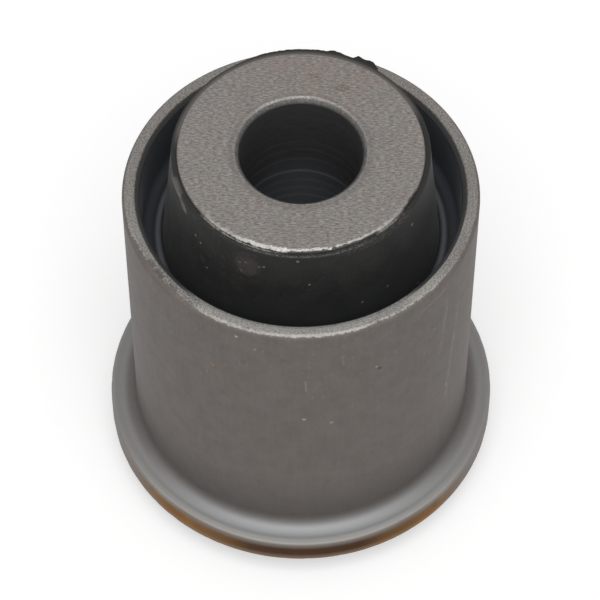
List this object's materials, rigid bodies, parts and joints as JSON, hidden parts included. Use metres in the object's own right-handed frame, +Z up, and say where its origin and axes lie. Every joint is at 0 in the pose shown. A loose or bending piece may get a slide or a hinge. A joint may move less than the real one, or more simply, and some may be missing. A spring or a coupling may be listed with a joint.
{
  "type": "rubber metal bush",
  "caption": "Bonded bush: a thick bolt sleeve held by moulded rubber inside a flanged outer sleeve that presses into an eye.",
  "frame": {"origin": "centre of the inner sleeve's lower end face, the lowest plane of the part", "axes": "+Z up along the common axis of the sleeves, from the flanged end to the plain rim; -Y faces the viewer of the picture"},
  "size_m": [0.0542, 0.0542, 0.063],
  "materials": {
    "inner_steel": "phosphated and matt, grainy on the end face, worn bright along the face's edge",
    "rubber": "satin black moulding with dust, a torn flash and a lighter feed mark",
    "outer_steel": "phosphated and matt, with a brown stain round the flange's edge"
  },
  "bodies": {
    "root": {"inner_sleeve": "inner_steel", "rubber_body": "rubber", "outer_sleeve": "outer_steel"}
  },
  "joints": []
}
